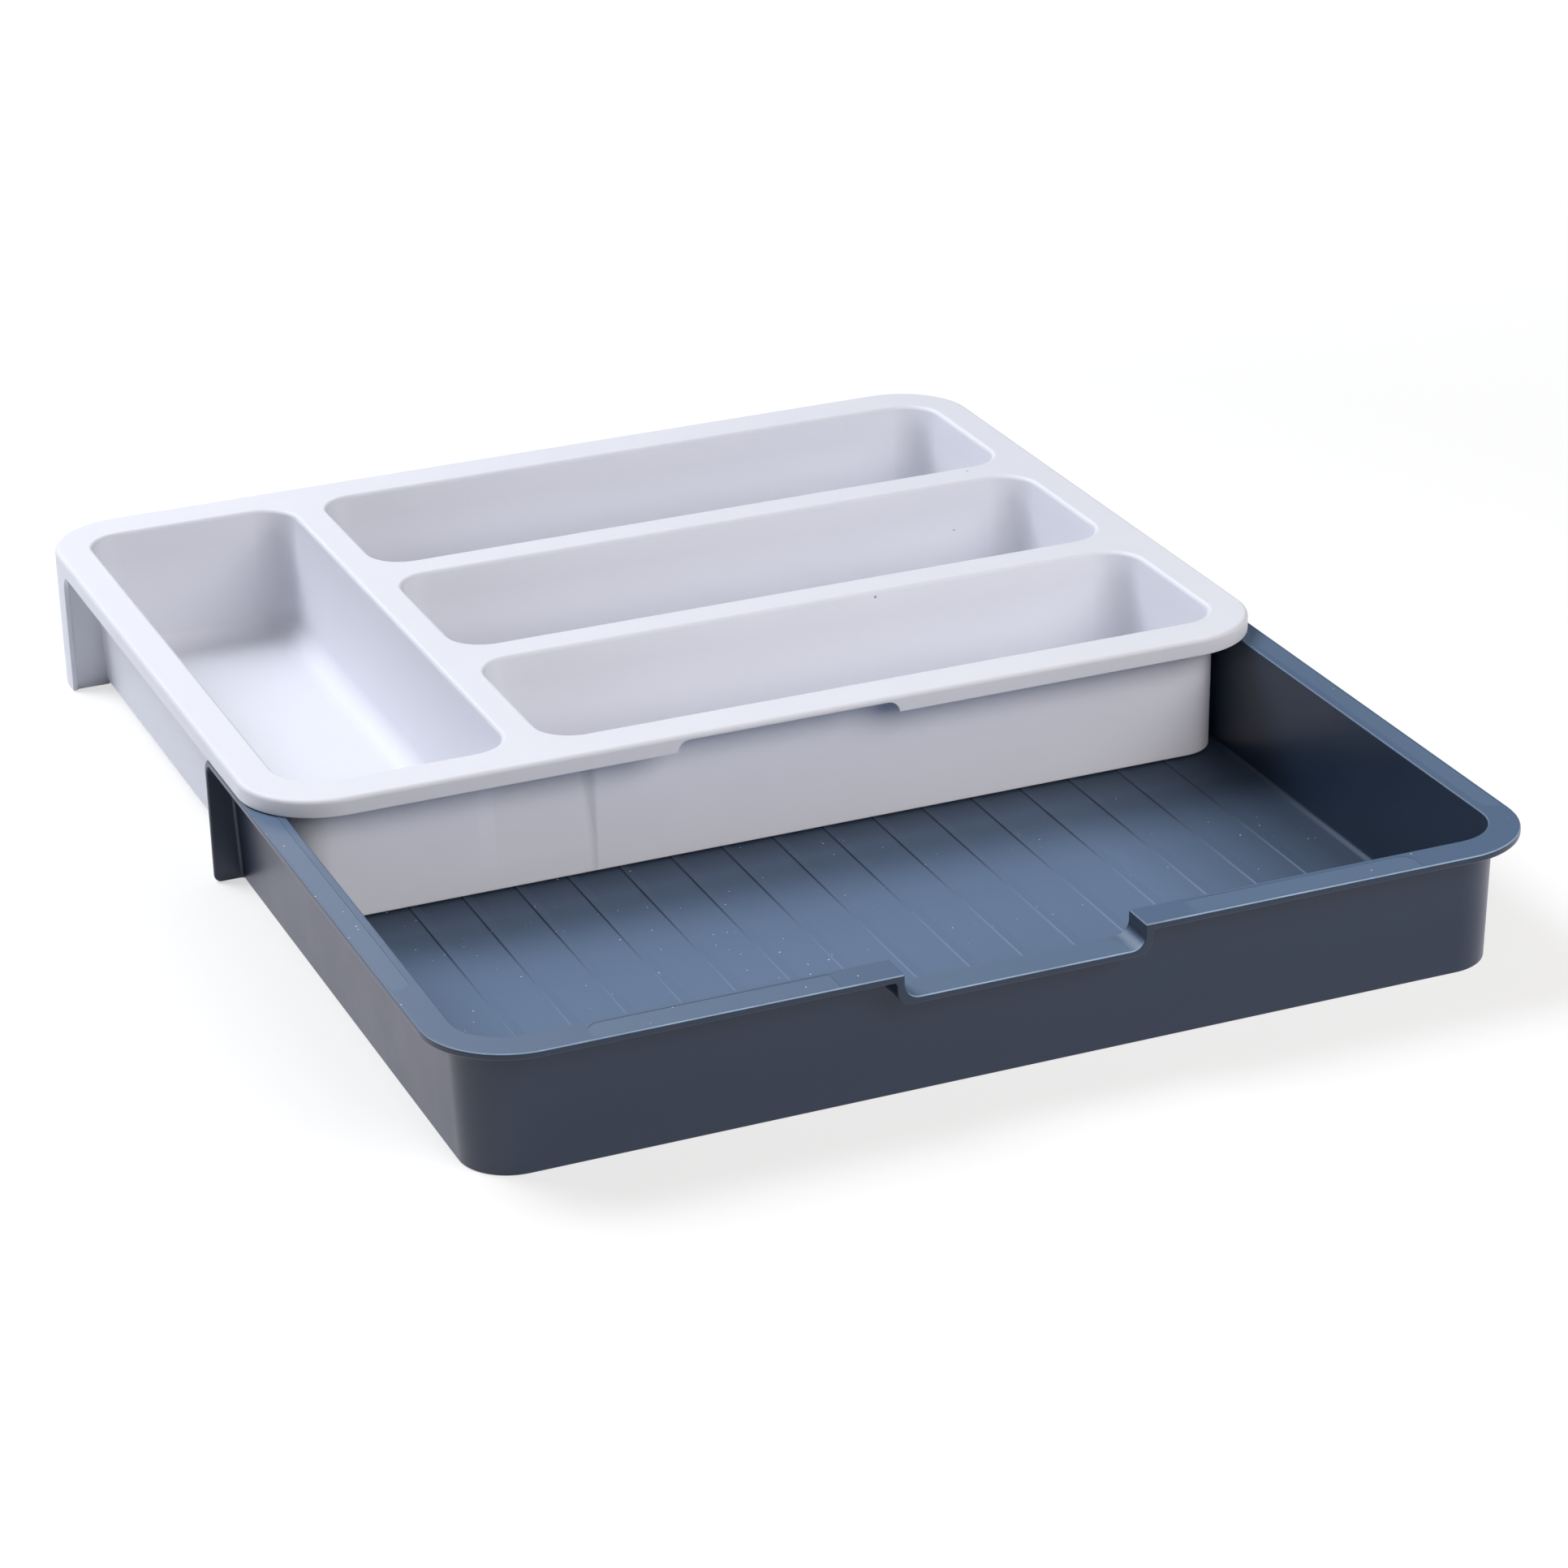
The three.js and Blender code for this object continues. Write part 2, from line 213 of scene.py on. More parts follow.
# The tub's shell is drawn from its rim: the hollow is let in from above, the outside drawn down from below.
tub = plate(
    "lower_tray_shell",
    (tub_low.x, tub_low.y, tub_high.z - RIM_THICK),
    (tub_high.x, tub_high.y + 2 * RIM_CORNER, tub_high.z - RIM_THICK),
    lambda corner: RIM_CORNER,
    RIM_CORNER_STEPS,
)
push((0, 0, RIM_THICK))
for up, rim_width, level, end in (
    (1, NEAR_RIM, tub_high.z, FLOOR_TOP),
    (-1, NEAR_RIM - WALL + DRAFT * RIM_THICK, tub_high.z - RIM_THICK, tub_low.z),
):
    choose("FACE", lambda face: len(face.verts) > 4 and face.normal.z * up > 0.9)
    bpy.ops.mesh.inset(thickness=rim_width, depth=0)
    for side in (-1, 1):
        choose(
            "VERT",
            lambda vertex: abs(vertex.co.z - level) < 1e-6
            and 0 < vertex.co.x * side < tub_high.x - rim_width + 1e-6
            and vertex.co.y > tub_low.y + rim_width - 1e-6,
        )
        bpy.ops.transform.translate(value=(side * (NEAR_RIM - SIDE_RIM), 0, 0))
    choose("FACE", lambda face: len(face.verts) > 4 and face.normal.z * up > 0.9)
    bpy.ops.mesh.inset(thickness=DRAFT * (level - end), depth=(end - level) * up)
bpy.ops.mesh.select_all(action="SELECT")
bpy.ops.mesh.bisect(plane_co=(0, tub_high.y, 0), plane_no=(0, 1, 0), use_fill=True, clear_outer=True)
done()

# The end plates stand outside the side walls at the open end.
for side in (-1, 1):
    edge_x = side * tub_high.x
    foot_x = side * (tub_high.x - SIDE_RIM + WALL / 2 - DRAFT * tub_high.z)
    end_plate = prism(
        "end_plate",
        (min(edge_x, foot_x), tub_high.y, tub_low.z),
        (max(edge_x, foot_x), tub_high.y, tub_high.z - RIM_THICK / 2),
        (0, -END_PLATE, 0),
        lambda corner: END_CORNER if abs(corner.x - edge_x) < 1e-6 and corner.z < 0.01 else 0.0,
    )
    edit(end_plate)
    choose("VERT", lambda vertex: abs(vertex.co.x - foot_x) < 1e-5 and vertex.co.z > 0.03)
    bpy.ops.transform.translate(value=(side * DRAFT * tub_high.z, 0, 0))
    done()
    combine(tub, end_plate, "UNION")
merge_flats(tub)
round_edges(
    tub,
    lambda edge: lies_at(edge, 1, tub_high.y) and lies_at(edge, 2, tub_high.z),
    BEND_OUTSIDE,
    BEND_STEPS,
)
round_edges(
    tub,
    lambda edge: lies_at(edge, 1, tub_high.y - END_PLATE)
    and lies_at(edge, 2, tub_high.z - RIM_THICK)
    and fold(edge) < -40,
    BEND_INSIDE,
    BEND_INSIDE_STEPS,
)
round_edges(
    tub,
    lambda edge: lies_at(edge, 2, FLOOR_TOP) and fold(edge) < -40,
    FLOOR_FILLET,
    FLOOR_FILLET_STEPS,
)

# The finger dip in the near rim, carried by a flange below it.
DIP_HALF = 0.0415
DIP_LOW = 0.0395
DIP_CORNER = 0.005
DIP_CORNER_STEPS = 10
DIP_FLANGE = 0.0025
flange = prism(
    "dip_flange",
    (-DIP_HALF - DIP_FLANGE, tub_low.y, DIP_LOW - DIP_FLANGE),
    (DIP_HALF + DIP_FLANGE, tub_low.y, tub_high.z - RIM_THICK / 2),
    (0, NEAR_RIM - WALL / 2, 0),
    lambda corner: DIP_CORNER if corner.z < DIP_LOW else 0.0,
    DIP_CORNER_STEPS,
)
combine(tub, flange, "UNION")
dip = prism(
    "dip",
    (-DIP_HALF, tub_low.y + 2 * NEAR_RIM, DIP_LOW),
    (DIP_HALF, tub_low.y + 2 * NEAR_RIM, tub_high.z + NEAR_RIM),
    (0, -3 * NEAR_RIM, 0),
    lambda corner: DIP_CORNER if corner.z < tub_high.z else 0.0,
    DIP_CORNER_STEPS,
)
combine(tub, dip, "DIFFERENCE")
merge_flats(tub)
round_edges(tub, lambda edge: fold(edge) < -40, CORNER_FILLET, CORNER_FILLET_STEPS)
round_edges(tub, lambda edge: fold(edge) > 40, EDGE_ROUND, EDGE_ROUND_STEPS)

# The upper lips' tracks, let into the rims by a hair.
TRACK_DEPTH = 0.00015
TRACK_CORNER = 0.005
ABOVE_RIM = 0.002
TRACKS = (
    ((-0.1890, -0.1880), (-0.1824, 0.0100), (-0.1824, -0.1880)),
    ((0.1826, -0.2140), (0.1890, 0.0100), (0.1826, -0.2140)),
    ((-0.1435, -0.2452), (-0.0626, -0.2352), (-0.1435, -0.2352)),
    ((0.0600, -0.2452), (0.1416, -0.2352), (0.1416, -0.2352)),
)
for low, high, turn in TRACKS:
    track = prism(
        "track",
        (low[0], low[1], tub_high.z - TRACK_DEPTH),
        (high[0], high[1], tub_high.z - TRACK_DEPTH),
        (0, 0, ABOVE_RIM),
        lambda corner: TRACK_CORNER if (corner.xy - Vector(turn)).length < 1e-4 else 0.0,
    )
    combine(tub, track, "DIFFERENCE")

# Low ribs along the floor, steep on their left and fading out on their right.
RIB_PITCH = 0.01928
RIB_WIDTH = 0.0044
RIB_HEIGHT = 0.0004
RIB_FALL = 0.8 * RIB_HEIGHT
RIB_SLOPE = 2.4 * RIB_HEIGHT
RIBS_EACH_SIDE = 8
RIBS_FAR = 0.0146
RIBS_LENGTH = 0.2392
first = -RIBS_EACH_SIDE * RIB_PITCH
ribs = prism(
    "ribs",
    (first - RIB_WIDTH / 2, RIBS_FAR, FLOOR_TOP - RIB_HEIGHT),
    (first + RIB_WIDTH / 2, RIBS_FAR, FLOOR_TOP + RIB_HEIGHT),
    (0, -RIBS_LENGTH, 0),
)
edit(ribs)
choose("VERT", lambda vertex: vertex.co.x > first and vertex.co.z > FLOOR_TOP)
bpy.ops.transform.translate(value=(0, 0, -RIB_FALL))
choose("VERT", lambda vertex: vertex.co.x < first and vertex.co.z > FLOOR_TOP)
bpy.ops.transform.translate(value=(RIB_SLOPE, 0, 0))
done()
row = ribs.modifiers.new("row", "ARRAY")
row.count = 2 * RIBS_EACH_SIDE + 1
row.use_relative_offset = False
row.use_constant_offset = True
row.constant_offset_displace = (RIB_PITCH, 0, 0)
bpy.context.view_layer.objects.active = ribs
bpy.ops.object.modifier_apply(modifier=row.name)
combine(tub, ribs, "UNION")


def finish_mesh(piece, crisp=lambda edge: False):
    """Merges doubled points, turns faces outward and shades rounds smoothly, but keeps crisp edges sharp."""
    edit(piece)
    bpy.ops.mesh.select_all(action="SELECT")
    bpy.ops.mesh.remove_doubles(threshold=1e-6)
    bpy.ops.mesh.normals_make_consistent(inside=False)
    done()
    bpy.ops.object.shade_smooth_by_angle(angle=math.radians(35))
    edit(piece)
    choose("EDGE", crisp)
    bpy.ops.mesh.mark_sharp()
    done()
    weigh = piece.modifiers.new("weigh", "WEIGHTED_NORMAL")
    weigh.keep_sharp = True
    bpy.ops.object.modifier_apply(modifier=weigh.name)


def add(tree, kind, inputs, **settings):
    """Adds a shader node; each input is either wired to a socket or set to a plain value."""
    made = tree.nodes.new("ShaderNode" + kind)
    for name, value in settings.items():
        setattr(made, name, value)
    for name, value in inputs.items():
        if isinstance(value, bpy.types.NodeSocket):
            tree.links.new(value, made.inputs[name])
        else:
            made.inputs[name].default_value = value
    return made


def times(tree, first, second):
    """One mask multiplied by another."""
    return add(tree, "Math", {0: first, 1: second}, operation="MULTIPLY").outputs[0]


def larger(tree, first, second):
    """The larger of two masks."""
    return add(tree, "Math", {0: first, 1: second}, operation="MAXIMUM").outputs[0]


def blend(tree, mask, under, over):
    """One colour laid over another by a mask."""
    return add(tree, "Mix", {0: mask, 6: under, 7: over}, data_type="RGBA").outputs[2]


def ramp(tree, value, start, end, low=0.0, high=1.0):
    """A value that goes from low to high while another goes from start to end."""
    sockets = {"Value": value, "From Min": start, "From Max": end, "To Min": low, "To Max": high}
    return add(tree, "MapRange", sockets).outputs["Result"]


def new_group(name, inputs, outputs):
    """An empty node group with number sockets."""
    group = bpy.data.node_groups.new(name, "ShaderNodeTree")
    for label in inputs:
        group.interface.new_socket(name=label, in_out="INPUT", socket_type="NodeSocketFloat")
    for label in outputs:
        group.interface.new_socket(name=label, in_out="OUTPUT", socket_type="NodeSocketFloat")
    return group, group.nodes.new("NodeGroupInput"), group.nodes.new("NodeGroupOutput")


# Moulded plastic varies a little in tone over a few centimetres and has a fine grain from its tool.
moulded_surface, entry, exit_ = new_group(
    "moulded_surface", ("Mottle Scale", "Grain Scale"), ("Mottle", "Grain")
)
place = add(moulded_surface, "TexCoord", {})
mottle = add(
    moulded_surface,
    "TexNoise",
    {
        "Vector": place.outputs["Object"],
        "Scale": entry.outputs["Mottle Scale"],
        "Detail": 4.0,
        "Roughness": 0.6,
    },
)
fine = add(
    moulded_surface,
    "TexNoise",
    {"Vector": place.outputs["Object"], "Scale": entry.outputs["Grain Scale"], "Detail": 1.0},
)
moulded_surface.links.new(mottle.outputs["Fac"], exit_.inputs["Mottle"])
moulded_surface.links.new(fine.outputs["Fac"], exit_.inputs["Grain"])

# Specks: one small dot of uneven size in some of the cells of a grid, which may be flattened from above.
specks, entry, exit_ = new_group("specks", ("Scale", "Share", "Size", "Depth"), ("Mask",))
place = add(specks, "TexCoord", {})
keep = add(specks, "CombineXYZ", {"X": 1.0, "Y": 1.0, "Z": entry.outputs["Depth"]})
flat = add(specks, "VectorMath", {0: place.outputs["Object"], 1: keep.outputs[0]}, operation="MULTIPLY")
cells = add(specks, "TexVoronoi", {"Vector": flat.outputs[0], "Scale": entry.outputs["Scale"]})
chance = add(specks, "SeparateColor", {"Color": cells.outputs["Color"]})
size = times(specks, chance.outputs["Green"], entry.outputs["Size"])
dot = add(specks, "Math", {0: cells.outputs["Distance"], 1: size}, operation="LESS_THAN")
shown = add(specks, "Math", {0: chance.outputs["Red"], 1: entry.outputs["Share"]}, operation="LESS_THAN")
speck = times(specks, dot.outputs[0], shown.outputs[0])
specks.links.new(speck, exit_.inputs["Mask"])

finish_mesh(tub)
SLATE_COLOUR = (0.011, 0.025, 0.052, 1)
SLATE_SHADE = (0.009, 0.021, 0.045, 1)
FLOOR_DUST_AND_LIGHT = (0.112, 0.175, 0.286, 1)
RIM_DUST_AND_LIGHT = (0.086, 0.138, 0.230, 1)
TRACK_DUST_AND_SHEEN = (0.102, 0.158, 0.252, 1)
RIB_HIGHLIGHT = (0.150, 0.222, 0.340, 1)
EDGE_HIGHLIGHT = (0.30, 0.43, 0.60, 1)
DUST_COLOUR = (0.74, 0.75, 0.78, 1)
SLATE_GLOSS = 0.34
RIM_GLOSS = 0.48
FLOOR_GLOSS = 0.70

slate = bpy.data.materials.new("slate_polypropylene")
slate.use_nodes = True
tree = slate.node_tree
shader = tree.nodes["Principled BSDF"]
surface = add(tree, "Group", {"Mottle Scale": 40.0, "Grain Scale": 1700.0}, node_tree=moulded_surface)
tone = blend(tree, surface.outputs["Mottle"], SLATE_SHADE, SLATE_COLOUR)

# A thin film of dust, together with painted light, lightens the faces that look up so that they read lighter
# than the walls, more on the floor than on the rims and their tracks; the tracks are painted a little lighter
# than the rims as a sheen. It is thinner in front of the upper tray, where painted shadow falls on the floor,
# most beside its foot as a painted contact shadow, and towards the right wall as painted shade.
place = add(tree, "TexCoord", {})
spot = add(tree, "SeparateXYZ", {"Vector": place.outputs["Object"]}).outputs
facing = add(tree, "SeparateXYZ", {"Vector": place.outputs["Normal"]}).outputs
level = ramp(tree, facing["Z"], 0.3, 0.7)
brow = ramp(tree, spot["Z"], tub_high.z - 0.0005, tub_high.z - 0.0002)
dust_and_top_light = larger(tree, level, brow)
high = ramp(tree, spot["Z"], 0.015, 0.03)
# Painted sheen: whatever lies a hair below the rim's top, the tracks and the rim's rounded edges, takes a
# lighter film.
sunk = ramp(tree, spot["Z"], tub_high.z - 0.2 * TRACK_DEPTH, tub_high.z - 0.8 * TRACK_DEPTH)
rim_dust_and_light = blend(tree, sunk, RIM_DUST_AND_LIGHT, TRACK_DUST_AND_SHEEN)
# Painted shadow: the film thins in front of the upper tray where its shadow falls, most beside its foot as a
# contact shadow, and painted shade thins it towards the right wall.
tray_shadow = ramp(tree, spot["Y"], -0.10, -0.05, 1.0, 0.74)
contact_shadow = ramp(tree, spot["Y"], -0.058, -0.040, 1.0, 0.2)
right_wall_shade = ramp(tree, spot["X"], 0.10, 0.17, 1.0, 0.2)
lit_share = times(tree, times(tree, tray_shadow, right_wall_shade), contact_shadow)

# Painted shade darkens the steep sides of the ribs, most towards the back, and a painted highlight lightens
# them towards the front.
rib_side = ramp(tree, facing["X"], -0.12, -0.30)
front_half = ramp(tree, spot["Y"], -0.08, -0.15)
side_unshaded = ramp(tree, front_half, 0.0, 1.0, 0.3, 1.0)
rib_side_shade = ramp(tree, rib_side, 0.0, 1.0, 1.0, side_unshaded)
floor_dust_and_light = blend(tree, times(tree, lit_share, rib_side_shade), tone, FLOOR_DUST_AND_LIGHT)
rib_highlight = times(tree, times(tree, rib_side, front_half), right_wall_shade)
floor_dust_and_light = blend(tree, rib_highlight, floor_dust_and_light, RIB_HIGHLIGHT)
lying = blend(tree, high, floor_dust_and_light, rim_dust_and_light)
dust_and_light_laid = blend(tree, dust_and_top_light, tone, lying)

# A painted highlight pales the rounded front edges of the rim and of the finger dip, broken up by the mottle.
tilt = ramp(tree, facing["Z"], 0.3, 0.6)
rounded = ramp(tree, facing["Z"], 0.995, 0.93)
front = ramp(tree, facing["Y"], -0.1, -0.45)
patchy = ramp(tree, surface.outputs["Mottle"], 0.3, 0.6, 0.35, 1.0)
front_edge = times(tree, times(tree, tilt, rounded), front)
edge_highlight = times(tree, times(tree, front_edge, high), patchy)
highlighted = blend(tree, edge_highlight, dust_and_light_laid, EDGE_HIGHLIGHT)

# Single grains of dust lie on the floor and the rims, more of them on the left.
share = ramp(tree, spot["X"], -0.17, 0.1, 0.30, 0.10)
dust = add(tree, "Group", {"Scale": 400.0, "Share": share, "Size": 0.12, "Depth": 0.0}, node_tree=specks)
dusted = blend(tree, times(tree, dust.outputs["Mask"], level), highlighted, DUST_COLOUR)
film_gloss = ramp(tree, high, 0.0, 1.0, FLOOR_GLOSS, RIM_GLOSS)
dull = ramp(tree, dust_and_top_light, 0.0, 1.0, SLATE_GLOSS, film_gloss)
vary = ramp(tree, surface.outputs["Mottle"], 0.0, 1.0, -0.05, 0.05)
gloss = add(tree, "Math", {0: dull, 1: vary}, operation="ADD")
grain = add(tree, "Bump", {"Strength": 0.06, "Distance": 0.00005, "Height": surface.outputs["Grain"]})
tree.links.new(dusted, shader.inputs["Base Color"])
tree.links.new(gloss.outputs[0], shader.inputs["Roughness"])
tree.links.new(grain.outputs["Normal"], shader.inputs["Normal"])
tub.data.materials.append(slate)
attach(tub, "lower")
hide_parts("lower_tray")

# Upper tray: a pale grey divided tray in the same satin polypropylene, moulded in one piece. It has a pocket
# across its left end and three along it, hangs on the tub's rims by a downward lip all round, and a skirt
# closes its far end almost down to the surface that the tub stands on.
cover_low, cover_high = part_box("upper_tray")
LIP_WALL = 0.002
LIP_LOW = 0.0481
RIM_UNDERSIDE = 0.0523
SKIRT_DEPTH = 0.036
SKIRT_FRONT = cover_high.y - SKIRT_DEPTH
CLEAR = 0.01
TOP_ROUND = 0.0016
TOP_ROUND_STEPS = 6
FINE_ROUND = 0.0004
FINE_ROUND_STEPS = 2
BLOCK_LOW = Vector((-0.1780, -0.0388, 0.0025))
BLOCK_HIGH = Vector((0.1780, 0.2298, 0.0533))
BLOCK_CORNER = 0.0158
BLOCK_STEPS = 14
FOOT_KINK = 0.0115
FOOT_LEAN = 0.00015
FOOT_ROUND = 0.0005
FOOT_ROUND_STEPS = 5
NEAR_UPRIGHT = 0.0013


def plug(name, low, high, wide, narrow, radius, steps):
    """A solid with rounded corners that is widest at one height and leans in to another."""
    piece = plate(name, (low[0], low[1], wide), (high[0], high[1], wide), radius, steps)
    bpy.ops.mesh.inset(thickness=DRAFT * abs(wide - narrow), depth=narrow - wide)
    choose("EDGE", lambda edge: edge.is_boundary)
    bpy.ops.mesh.edge_face_add()
    face_outward()
    return piece


cover = plate(
    "upper_tray_shell",
    (cover_low.x, cover_low.y, cover_low.z),
    (cover_high.x, cover_high.y, cover_low.z),
    lambda corner: RIM_CORNER,
    RIM_CORNER_STEPS,
)
push((0, 0, cover_high.z - cover_low.z))
choose("FACE", lambda face: face.normal.z < -0.9)
bpy.ops.mesh.inset(thickness=LIP_WALL, depth=0)
push((0, 0, RIM_UNDERSIDE - cover_low.z))
done()
side_cut = prism(
    "side_cut",
    (cover_low.x - CLEAR, cover_low.y - 2 * CLEAR, -2 * CLEAR),
    (cover_low.x - CLEAR, SKIRT_FRONT, LIP_LOW),
    (cover_high.x - cover_low.x + 2 * CLEAR, 0, 0),
    lambda corner: BEND_OUTSIDE if corner.y > 0 and corner.z > 0 else 0.0,
    BEND_STEPS,
)
combine(cover, side_cut, "DIFFERENCE")

# The block that the pockets are let into leans in towards its foot, and its near wall stands more upright.
block = plug(
    "block", BLOCK_LOW, BLOCK_HIGH, BLOCK_HIGH.z, FOOT_KINK, lambda corner: BLOCK_CORNER, BLOCK_STEPS
)
edit(block)
choose("FACE", lambda face: face.normal.z < -0.9)
bpy.ops.mesh.inset(thickness=FOOT_LEAN, depth=FOOT_KINK - BLOCK_LOW.z)
choose("VERT", lambda vertex: vertex.co.y < 0 and vertex.co.z < FOOT_KINK + 0.001)
bpy.ops.transform.translate(value=(0, -NEAR_UPRIGHT, 0))
done()
round_edges(block, lambda edge: lies_at(edge, 2, BLOCK_LOW.z), FOOT_ROUND, FOOT_ROUND_STEPS)

# The near wall has sunk in a little below the rim, where the divider meets it behind.
SINK_DEPTH = 0.001
SINK_LEFT = -0.1100
SINK_SHOULDER = -0.1040
SINK_RIGHT = -0.0670
SINK_CUTS = (
    ((SINK_LEFT, 0, 0), (1, 0, 0)),
    ((SINK_SHOULDER, 0, 0), (1, 0, 0)),
    ((-0.0735, 0, 0.048), (0.0455, 0, 0.0040)),
    ((SINK_RIGHT, 0, 0), (1, 0, 0)),
)
edit(block)
for place, across in SINK_CUTS:
    choose("FACE", lambda face: face.normal.y < -0.9)
    bpy.ops.mesh.bisect(plane_co=place, plane_no=across)
choose(
    "VERT",
    lambda vertex: vertex.co.y < -0.03
    and vertex.co.z > 0.03
    and SINK_SHOULDER - 0.0002 < vertex.co.x < SINK_RIGHT - 0.0012,
)
bpy.ops.transform.translate(value=(0, SINK_DEPTH, 0))
done()
combine(cover, block, "UNION")

# Return plates close the skirt's ends beside the block, let into its walls.
RETURN_INNER = 0.1752
RETURN_THICK = 0.002
RETURN_SET_BACK = 0.001
LET_IN = 0.0003
for side in (-1, 1):
    inner = side * RETURN_INNER
    outer = side * (cover_high.x - LIP_WALL + LET_IN)
    return_plate = prism(
        "return_plate",
        (min(inner, outer), SKIRT_FRONT + RETURN_SET_BACK, cover_low.z),
        (max(inner, outer), SKIRT_FRONT + RETURN_SET_BACK, RIM_UNDERSIDE + LET_IN),
        (0, RETURN_THICK, 0),
    )
    combine(cover, return_plate, "UNION")

# The pockets, each with a wide round where its walls meet its floor.
POCKET_CORNER = 0.014
POCKET_CORNER_STEPS = 14
WIDE_CORNER = 0.019
POCKET_FLOOR = 0.0043
POCKET_FILLET = 0.008
POCKET_FILLET_STEPS = 10
POCKET_LOWS = ((-0.1762, -0.0370), (-0.0826, -0.0370), (-0.0826, 0.05617), (-0.0826, 0.14933))
POCKET_HIGHS = ((-0.0956, 0.2280), (0.1762, 0.04167), (0.1762, 0.13483), (0.1762, 0.2280))
ABOVE = 0.002
POCKET_MIDDLES = (-0.1359, 0.0468)
edit(cover)
for middle in POCKET_MIDDLES:
    choose("FACE", lambda face: face.normal.z > 0.9 and face.calc_center_median().z > cover_high.z - 1e-5)
    bpy.ops.mesh.bisect(plane_co=(middle, 0, 0), plane_no=(1, 0, 0))
done()
for low, high in zip(POCKET_LOWS, POCKET_HIGHS):
    grow = DRAFT * ABOVE
    pocket = plug(
        "pocket",
        (low[0] - grow, low[1] - grow),
        (high[0] + grow, high[1] + grow),
        cover_high.z + ABOVE,
        POCKET_FLOOR,
        lambda corner: WIDE_CORNER if corner.x < -0.1 and corner.y < 0 else POCKET_CORNER,
        POCKET_CORNER_STEPS,
    )
    round_edges(pocket, lambda edge: lies_at(edge, 2, POCKET_FLOOR), POCKET_FILLET, POCKET_FILLET_STEPS)
    combine(cover, pocket, "DIFFERENCE")

# The dividers are hollow from below.
CHANNEL_FOOT = 0.0005
CHANNEL_CORNER = 0.004
CHANNEL_CORNER_STEPS = 6
CHANNELS = (
    ((-0.0938, -0.0331), (-0.0844, 0.2241), 0.0523),
    ((-0.0891, 0.04347), (0.1723, 0.05437), 0.0513),
    ((-0.0891, 0.13663), (0.1723, 0.14753), 0.0513),
)
for low, high, roof in CHANNELS:
    grow = DRAFT * (cover_high.z - CHANNEL_FOOT)
    channel = plug(
        "channel",
        (low[0] - grow, low[1] - grow),
        (high[0] + grow, high[1] + grow),
        CHANNEL_FOOT,
        roof,
        lambda corner: CHANNEL_CORNER,
        CHANNEL_CORNER_STEPS,
    )
    combine(cover, channel, "DIFFERENCE")

# The finger opening in the near lip.
OPENING_CORNER = 0.0042
OPENING_CORNER_STEPS = 8
OPENING_REACH = 0.006
opening = prism(
    "opening",
    (-DIP_HALF, cover_low.y + OPENING_REACH, 0.03),
    (DIP_HALF, cover_low.y + OPENING_REACH, RIM_UNDERSIDE),
    (0, -2 * OPENING_REACH, 0),
    lambda corner: OPENING_CORNER if corner.z > 0.04 else 0.0,
    OPENING_CORNER_STEPS,
)
combine(cover, opening, "DIFFERENCE")
round_edges(
    cover,
    lambda edge: lies_at(edge, 2, cover_high.z) and fold(edge) > 40,
    TOP_ROUND,
    TOP_ROUND_STEPS,
)
round_edges(cover, lambda edge: fold(edge) > 40, FINE_ROUND, FINE_ROUND_STEPS)


def along_sink(edge):
    """Whether an edge runs up the near wall beside the sink mark."""
    return abs(fold(edge)) > 1 and all(
        vertex.co.y < -0.035
        and 0.011 < vertex.co.z < 0.0527
        and SINK_LEFT - 0.001 < vertex.co.x < SINK_RIGHT + 0.001
        for vertex in edge.verts
    )


finish_mesh(cover, along_sink)
PALE_COLOUR = (0.785, 0.795, 0.860, 1)
PALE_SHADE = (0.758, 0.768, 0.836, 1)
PALE_POCKET_SHADE = (0.730, 0.740, 0.800, 1)
SINK_SHADE = (0.660, 0.670, 0.725, 1)
FLECK_COLOUR = (0.33, 0.31, 0.32, 1)
PALE_GLOSS = 0.55
PALE_SCATTER = 0.3
PALE_SCATTER_DEPTH = 0.002

pale = bpy.data.materials.new("pale_polypropylene")
pale.use_nodes = True
tree = pale.node_tree
shader = tree.nodes["Principled BSDF"]
surface = add(tree, "Group", {"Mottle Scale": 45.0, "Grain Scale": 1900.0}, node_tree=moulded_surface)
flecks = add(tree, "Group", {"Scale": 95.0, "Share": 0.035, "Size": 0.055, "Depth": 1.0}, node_tree=specks)
tone = blend(tree, surface.outputs["Mottle"], PALE_SHADE, PALE_COLOUR)

# Painted shade darkens the pockets' walls a little, but not the wall beside the cross pocket.
place = add(tree, "TexCoord", {})
spot = add(tree, "SeparateXYZ", {"Vector": place.outputs["Object"]}).outputs
facing = add(tree, "SeparateXYZ", {"Vector": place.outputs["Normal"]}).outputs
steep = add(tree, "Math", {0: facing["Z"]}, operation="ABSOLUTE")
wall = ramp(tree, steep.outputs[0], 0.7, 0.2)
deep = ramp(tree, spot["Z"], 0.052, 0.044)
behind = ramp(tree, spot["Y"], -0.0372, -0.0360)
ahead = ramp(tree, facing["X"], -0.7, -0.2)
at_end = add(tree, "Math", {0: spot["X"], 1: 0.1}, operation="GREATER_THAN")
pocket_wall = times(tree, times(tree, wall, deep), behind)
pocket_shade = times(tree, pocket_wall, larger(tree, ahead, at_end.outputs[0]))
pocket_shaded = blend(tree, pocket_shade, tone, PALE_POCKET_SHADE)

